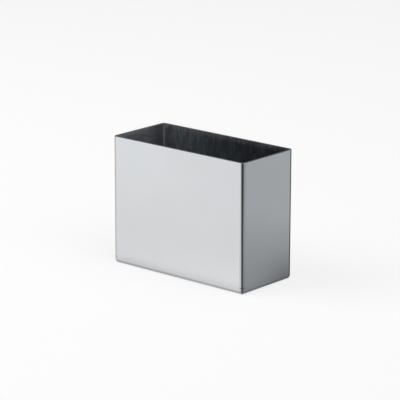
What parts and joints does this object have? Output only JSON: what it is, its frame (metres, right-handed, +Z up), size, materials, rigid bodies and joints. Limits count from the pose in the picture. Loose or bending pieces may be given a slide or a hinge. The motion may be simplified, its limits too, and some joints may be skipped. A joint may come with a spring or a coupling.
{
  "type": "sugar packet holder",
  "caption": "Open-topped rectangular table holder for sugar packets, folded from stainless sheet with rounded corners, a welded corner seam and a welded-on pressed base pan.",
  "frame": {"origin": "middle of the underside, on the surface that the holder stands on", "axes": "+X along the long walls, +Y from the pictured front wall to the back wall, +Z up to the open rim"},
  "size_m": [0.1, 0.045, 0.078],
  "materials": {
    "sheet_steel": "stainless sheet, polished to a soft mirror outside, brushed inside",
    "weld_steel": "stainless weld metal, dressed flush outside, left as a bead inside"
  },
  "bodies": {
    "root": {"wall_band": "sheet_steel", "base_pan": "sheet_steel", "corner_weld": "weld_steel", "base_weld": "weld_steel"}
  },
  "joints": []
}
